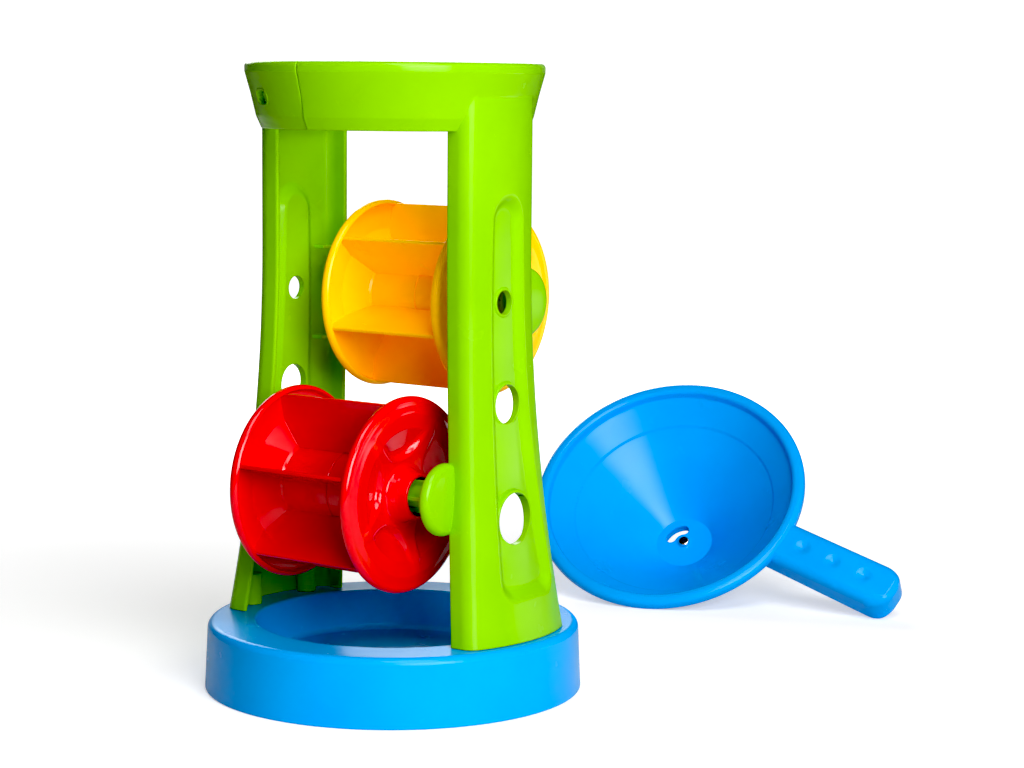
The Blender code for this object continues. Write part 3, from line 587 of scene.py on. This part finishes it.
def wheel_disc(name, away, turn):
    """A wheel's end: rolled rim, face with five round-ended hollows that run down to the hub, nose, bearing tube and half of the hub."""
    face = dense(rounded([(12.2, 34.6, 0), (13.4, 31.6, 2.6), (20.0, 33.3, 6.0), (31.0, 35.9, 8.0), (37.5, 36.1, 8.0), (41.4, 35.5, 0)], k=8, closed=False), 0.6, closed=False)
    rim = [(42.9 + 2.6 * math.sin(a), 33.0 + 2.5 * math.cos(a)) for a in np.linspace(-0.2, math.pi * 0.92, 16)]
    back = rounded([(43.4, 30.6, 0), (42.5, 33.2, 0.9), (31.0, 33.5, 2.5), (18.3, 27.5, 0.8), (HUB_R, 26.4, 0.8), (HUB_R, 0.9, 0), (HUB_R, GAP / 2 + 0.25, 0.0)], k=4, closed=False)[1:]
    hub = [(HUB_R - 0.25, GAP / 2), (HUB_R - 2.0, GAP / 2), (HUB_R - 2.0, 26.4), (10.2, 26.4), (10.2, 20.3), (9.9, 20.0), (BORE_R, 20.0), (BORE_R, 32.3)]
    nose = rounded([(BORE_R, 32.3, 0), (BORE_R, 33.2, 0), (9.0, 33.5, 0.3), (9.0, 41.7, 0.45), (10.4, 41.7, 0.6), (11.4, 36.6, 3.0), (12.2, 34.6, 0.0)], k=5, closed=False)[1:-1]
    line = nose + face + rim + back + hub
    marks = np.zeros((len(line), 1))
    marks[len(nose) : len(nose) + len(face)] = 1.0

    def shift(r, h, a):
        apex, centre, size = 9.9, 32.4, 15.9
        u = (a - turn - PETAL_TURN) % (2 * math.pi / PETALS)
        u = np.minimum(u, 2 * math.pi / PETALS - u)
        across, along = r * np.sin(u), r * np.cos(u)
        near = size - np.hypot(along - centre, across)
        far = (along - apex - across) * math.sqrt(0.5)
        inside = np.where(along + across < centre, near, far)
        floor = np.where(r < 31.0, 29.4 + (r - 18.0) * 0.455, 35.3 + (r - 31.0) * 0.04)
        depth = np.clip(h - floor, 0, 4.0) * (1.0 - soft_step((r - 32.0) / 7.0, 0.3))
        return h - marks * depth * soft_step(inside / 1.9, 0.3)

    disc = revolve(name, line, 216, axis="X", shift=shift)
    if away < 0:
        disc.data.transform(Matrix.Diagonal((-1.0, 1.0, 1.0, 1.0)))
        outward(disc)
    return disc


def wheel(prefix, y, z, phase, mat, slot, body):
    turn = math.radians(phase)
    left = wheel_disc(f"{prefix}_wheel_vanes", -1, turn)
    for k in range(6):
        a = turn + math.pi / 3 * k
        outline = rounded(
            [(-32.2, BLADE_R, 0.8), (-34.2, 42.0, 0), (-34.2, 31.0, 0), (-27.6, HUB_R - 1.0, 0), (-GAP / 2, HUB_R - 1.0, 0), (-GAP / 2, HUB_R + GAP, 0),
             (26.2, HUB_R + GAP + 0.1, 0.8), (33.05, 31.2, 3.0), (33.0, 41.9, 0.6), (31.7, BLADE_R, 0.8)],
            k=3,
        )
        blade = bevelled(prism("blade", outline, -0.9, 0.9), 0.45, 3, 60.0)
        blade.data.transform(Matrix.Rotation(a - math.pi / 2, 4, "X") @ Matrix.Rotation(math.pi / 2, 4, "X"))
        boolean(left, blade, "UNION")
    right = wheel_disc(f"{prefix}_wheel_face", 1, turn)
    for obj, node in ((left, f"{prefix}_wheel_body"), (right, f"{prefix}_wheel_cap")):
        obj.location = (0, y * MM, z * MM)
        finish(obj, mat, slot, body, node)


wheel("lower", -OFFSET, LOWER_Z, 44.4, RED, "red_wheel", "lower_wheel")
wheel("upper", OFFSET, UPPER_Z, 20.0, YELLOW, "yellow_wheel", "upper_wheel")

# ------------------------------------------------------------------ funnel

RIM_R, FLOOR, SPOUT_R, SPOUT_D = 77.3, 49.0, 18.5, 60.2
HANDLE_END, HANDLE_W, HANDLE_ROUND = 146.6, 26.4, 12.8
tilt, heading, roll = (math.radians(v) for v in (44.7, -72.5, -21.4))
mouth = Vector((math.cos(tilt) * math.cos(heading), math.cos(tilt) * math.sin(heading), math.sin(tilt)))
level = Vector((-math.sin(heading), math.cos(heading), 0.0))
upslope = mouth.cross(level)
along = level * math.cos(roll) + upslope * math.sin(roll)
across = mouth.cross(along)
rest_z = (RIM_R - 3.6) * math.cos(tilt) + 3.75 + 0.2
POSE = Matrix.Translation(Vector((-15.0, 267.0, rest_z)) * MM) @ Matrix((along, across, mouth)).transposed().to_4x4()

bowl_line = rounded(
    [
        (70.6, 3.6, 2.6), (RIM_R, 3.6, 3.3), (RIM_R, -3.6, 3.0), (71.8, -4.4, 1.6), (60.4, -14.2, 1.4), (59.2, -17.0, 1.6),
        (20.6, -50.8, 2.4), (SPOUT_R, -53.2, 1.4), (SPOUT_R, -SPOUT_D, 0.7), (SPOUT_R - 2.2, -SPOUT_D, 0.6), (SPOUT_R - 2.2, -FLOOR - 2.2, 0.2),
        (2.1, -FLOOR - 2.2, 0), (2.1, -FLOOR, 0), (16.4, -FLOOR, 1.0), (57.0, -13.5, 0.7), (57.9, -12.1, 0.6), (69.6, -1.2, 2.0),
    ],
    k=6,
)
bowl = revolve("funnel_shell", dense(bowl_line, 3.0), 192)


def handle(name, inset, x_start, x_end, hollow):
    """The drooping handle: a full-round end, soft top edges and three shallow thumb dimples."""
    flat_end = x_end - HANDLE_ROUND
    stations = list(np.arange(x_start, flat_end, 0.7 if not hollow else 8.0)) + [flat_end]
    stations += [flat_end + HANDLE_ROUND * math.sin(math.pi / 2 * i / 26) for i in range(1, 26)] + [x_end - 0.02]
    rows = []
    for x in stations:
        run = max(0.0, (x - flat_end) / HANDLE_ROUND)
        half = max(0.9, (HANDLE_W / 2 - inset) * (0.10 + 0.90 * math.sqrt(max(0.0, 1.0 - run**2.3))))
        droop = (x - RIM_R) / (HANDLE_END - RIM_R)
        roll_top = max(0.0, (x - (x_end - 4.0)) / 4.0)
        roll_low = max(0.0, (x - (x_end - 8.0)) / 8.0)
        top = 2.4 - 3.4 * droop - inset - 3.8 * (1 - math.sqrt(max(0.0, 1 - roll_top**2)))
        low = -12.7 - 6.7 * droop + 6.0 * (1 - math.sqrt(max(0.0, 1 - roll_low**2)))
        if hollow:
            low = -12.7 - 6.7 * droop - 3.0
        c, d = min(5.4, half * 0.45), min(2.2, half * 0.4)
        section = [(half, low + d)]
        section += [(half - c + c * math.cos(a), top - c + c * math.sin(a)) for a in np.linspace(0, math.pi / 2, 9)]
        section += [(half - c - (2 * half - 2 * c) * t, top) for t in np.linspace(0, 1, 25)[1:-1]]
        section += [(-half + c - c * math.sin(a), top - c + c * math.cos(a)) for a in np.linspace(0, math.pi / 2, 9)]
        section += [(-half, low + d)]
        section += [(-half + d - d * math.cos(a), low + d - d * math.sin(a)) for a in np.linspace(0, math.pi / 2, 6)[1:]]
        section += [(half - d + d * math.sin(a), low + d - d * math.cos(a)) for a in np.linspace(0, math.pi / 2, 6)[:-1]]
        row = []
        for y, z in section:
            if not hollow and z > top - 0.5:
                for spot in (88.5, 107.8, 127.0):
                    gone = math.hypot(x - spot, y - 0.5) / 4.0
                    if gone < 1.3:
                        z = z - 1.35 * float(1.0 - soft_step(gone, 0.3)) ** 0.8
            row.append((x, y, z))
        rows.append(row)
    return surface(name, rows, loop_j=True, caps=True)


def kidney(name, low, high, radius=8.8, half_w=3.0, at=154.9, span=62.0):
    a0, a1 = math.radians(at - span / 2), math.radians(at + span / 2)
    pts = [((radius + half_w) * math.cos(a), (radius + half_w) * math.sin(a)) for a in np.linspace(a0, a1, 19)]
    pts += [(radius * math.cos(a1) + half_w * math.cos(a1 + b), radius * math.sin(a1) + half_w * math.sin(a1 + b)) for b in np.linspace(0, math.pi, 14)[1:-1]]
    pts += [((radius - half_w) * math.cos(a), (radius - half_w) * math.sin(a)) for a in np.linspace(a1, a0, 19)]
    pts += [(radius * math.cos(a0) + half_w * math.cos(a0 + math.pi + b), radius * math.sin(a0) + half_w * math.sin(a0 + math.pi + b)) for b in np.linspace(0, math.pi, 14)[1:-1]]
    return prism(name, pts, low, high)


# the handle's hollow is cut first, then the bar is joined to the bowl's outer side
bar = handle("handle", 0.0, 60.0, HANDLE_END, False)
inner = revolve("bowl_inside", [(0, 8.0), (72.5, 8.0), (72.3, 2.4), (70.9, -2.0), (59.0, -13.2), (57.8, -15.4), (0, -66.0)], 192)
boolean(bar, inner, "DIFFERENCE")
boolean(bar, handle("handle_hollow", 2.3, 80.5, HANDLE_END - 2.3, True), "DIFFERENCE")
boolean(bowl, bar, "UNION")
boolean(bowl, kidney("bowl_kidney", -FLOOR - 6.0, -FLOOR + 3.0), "DIFFERENCE")

disc_top = -FLOOR - 2.2 - GAP
under = disc_top - 2.4
valve = revolve("valve_turning_disc", rounded([(15.2, disc_top, 0.5), (15.2, under, 0.5), (2.2, under, 0), (2.2, disc_top, 0)], k=4), 96)
boolean(valve, kidney("valve_kidney", disc_top - 6.0, disc_top + 3.0), "DIFFERENCE")
thumb = bevelled(box("thumb", (-1.5, -13.5, under - 4.2), (1.5, -5.2, under + 0.6)), 0.5, 3)
thumb.data.transform(Matrix.Rotation(math.radians(154.9 - 90.0), 4, "Z"))
boolean(valve, thumb, "UNION")
pin = revolve(
    "valve_rivet",
    rounded(
        [
            (0, -FLOOR + 2.2, 0), (3.2, -FLOOR + 2.2, 0.7), (3.2, -FLOOR + GAP, 0.2), (1.75, -FLOOR + GAP, 0.2), (1.75, under - 1.5, 0.2),
            (2.9, under - 1.5, 0.3), (2.9, under - 2.8, 0.6), (0, under - 3.0, 0),
        ],
        k=5,
        closed=False,
    ),
    48,
)
washer = revolve("valve_washer_ring", rounded([(2.1, under - GAP, 0.1), (4.4, under - GAP, 0.25), (4.4, under - 1.15, 0.25), (2.1, under - 1.15, 0.1)], k=3), 56)
for obj, mat, slot, body, node in (
    (bowl, BLUE_FUNNEL, "blue_funnel", "funnel", "funnel_bowl"),
    (valve, BLUE_FUNNEL, "blue_funnel", "valve", "funnel_valve_disc"),
    (pin, CHROME, "valve_steel", "funnel", "funnel_valve_pin"),
    (washer, CHROME, "valve_steel", "funnel", "funnel_valve_washer"),
):
    obj.data.transform(POSE)
    finish(obj, mat, slot, body, node)

# ------------------------------------------------------------------ floor, light and camera

TURN = math.radians(-51.0)  # the camera's own left-right and depth axes, seen from the tower's frame


def from_view(x, y, z):
    """A point given right of, beyond and above the tower as the camera sees it, in the tower's frame."""
    s, c = 0.7771, 0.6293
    return Vector((x * s - y * c, x * c + y * s, z))


FLOOR_FILL = 0.03  # what the floor adds as light, apart from what it reflects
floor_mat, tree, shader, _ = new_material("studio_floor")
coord = tree.nodes.new("ShaderNodeTexCoord").outputs["Object"]
tree.links.new(ramp(tree, noise(tree, coord, 3.0), (0.72, 0.72, 0.72), (0.74, 0.74, 0.74)), shader.inputs["Base Color"])
shader.inputs["Roughness"].default_value = 0.85
shader.inputs["Specular IOR Level"].default_value = 0.1
shader.inputs["Emission Color"].default_value = (1.0, 1.0, 1.0, 1.0)
away_from = tree.nodes.new("ShaderNodeVectorMath")
away_from.operation = "DOT_PRODUCT"
away_from.inputs[1].default_value = from_view(0.0, 1.0, 0.0)
tree.links.new(coord, away_from.inputs[0])
glow = tree.nodes.new("ShaderNodeMapRange")
glow.interpolation_type = "SMOOTHSTEP"
for socket, value in zip(("From Min", "From Max", "To Min", "To Max"), (0.15, 1.1, 0.45, 1.10)):
    glow.inputs[socket].default_value = value
tree.links.new(away_from.outputs["Value"], glow.inputs["Value"])
floor_ray = tree.nodes.new("ShaderNodeLightPath")
floor_glow = tree.nodes.new("ShaderNodeMix")
floor_glow.data_type = "FLOAT"
floor_glow.inputs["A"].default_value = FLOOR_FILL
tree.links.new(floor_ray.outputs["Is Camera Ray"], floor_glow.inputs["Factor"])
tree.links.new(glow.outputs["Result"], floor_glow.inputs["B"])
tree.links.new(floor_glow.outputs["Result"], shader.inputs["Emission Strength"])
floor_mesh = bpy.data.meshes.new("studio_floor")
floor_mesh.from_pydata([(-30, -30, 0), (30, -30, 0), (30, 30, 0), (-30, 30, 0)], [], [(0, 1, 2, 3)])
floor = bpy.data.objects.new("studio_floor", floor_mesh)
floor.data.materials.append(floor_mat)
SCENE.collection.objects.link(floor)

DARK, BACKDROP = 0.02, 0.30

# a white backdrop beyond the object; the side towards the camera stays dark, as in a studio
world = bpy.data.worlds.new("studio")
world.use_nodes = True
wt = world.node_tree
sky = wt.nodes["Background"]
sky.inputs["Color"].default_value = (1.0, 1.0, 1.0, 1.0)
facing = wt.nodes.new("ShaderNodeVectorMath")
facing.operation = "DOT_PRODUCT"
facing.inputs[1].default_value = from_view(0.0, 1.0, 0.0)
wt.links.new(wt.nodes.new("ShaderNodeTexCoord").outputs["Generated"], facing.inputs[0])
back = wt.nodes.new("ShaderNodeMapRange")
back.interpolation_type = "SMOOTHSTEP"
for socket, value in zip(("From Min", "From Max", "To Min", "To Max"), (0.78, 0.97, DARK, BACKDROP)):
    back.inputs[socket].default_value = value
wt.links.new(facing.outputs["Value"], back.inputs["Value"])
seen_ray = wt.nodes.new("ShaderNodeLightPath")
strength = wt.nodes.new("ShaderNodeMix")
strength.data_type = "FLOAT"
strength.inputs["B"].default_value = 1.2
wt.links.new(seen_ray.outputs["Is Camera Ray"], strength.inputs["Factor"])
wt.links.new(back.outputs["Result"], strength.inputs["A"])
wt.links.new(strength.outputs["Result"], sky.inputs["Strength"])
SCENE.world = world


def soft_light(name, at, aim, size, power, size_y=None):
    data = bpy.data.lights.new(name, "AREA")
    data.shape = "RECTANGLE"
    data.size, data.size_y = size, size_y or size
    data.energy = power
    obj = bpy.data.objects.new(name, data)
    obj.location = from_view(*at)
    obj.rotation_euler = (from_view(*aim) - obj.location).to_track_quat("-Z", "Y").to_euler()
    SCENE.collection.objects.link(obj)
    return obj


soft_light("key", (0.60, -1.42, 0.66), (0.0, 0.0, 0.15), 1.0, 27.5, 0.80)
soft_light("overhead", (0.20, -0.70, 1.30), (0.05, 0.05, 0.1), 0.7, 9.5, 0.7)
soft_light("back", (-0.25, 1.60, 0.95), (0.0, 0.0, 0.12), 1.2, 13.0, 0.9)
soft_light("card", (1.25, 0.20, 0.07), (0.0, 0.0, 0.07), 0.7, 0.7, 0.13)

# the camera, from the fitted distance, height, turn, dip and roll
D, HC, YAW, PITCH, F, ROLL = 1.171, 0.2872, 0.0477, 0.1208, 2483.0, 0.0090
fwd = Vector((math.sin(YAW) * math.cos(PITCH), math.cos(YAW) * math.cos(PITCH), -math.sin(PITCH)))
right = fwd.cross(Vector((0, 0, 1))).normalized()
up = right.cross(fwd)
right, up = right * math.cos(ROLL) + up * math.sin(ROLL), -right * math.sin(ROLL) + up * math.cos(ROLL)
axes = [from_view(*v) for v in (right, up, -fwd)]
cam_data = bpy.data.cameras.new("camera")
cam_data.sensor_width = 36.0
cam_data.lens = F / 1024.0 * 36.0
cam_data.clip_end = 200.0
camera = bpy.data.objects.new("camera", cam_data)
SCENE.collection.objects.link(camera)
camera.matrix_world = Matrix.Translation(from_view(0, -D, HC)) @ Matrix(axes).transposed().to_4x4()
SCENE.camera = camera
SCENE.view_settings.view_transform = "Standard"
# the deepest shadows run to black, as in a crisp studio picture
SCENE.view_settings.use_curve_mapping = True
SCENE.view_settings.curve_mapping.black_level = (0.03, 0.03, 0.03)
SCENE.view_settings.curve_mapping.update()
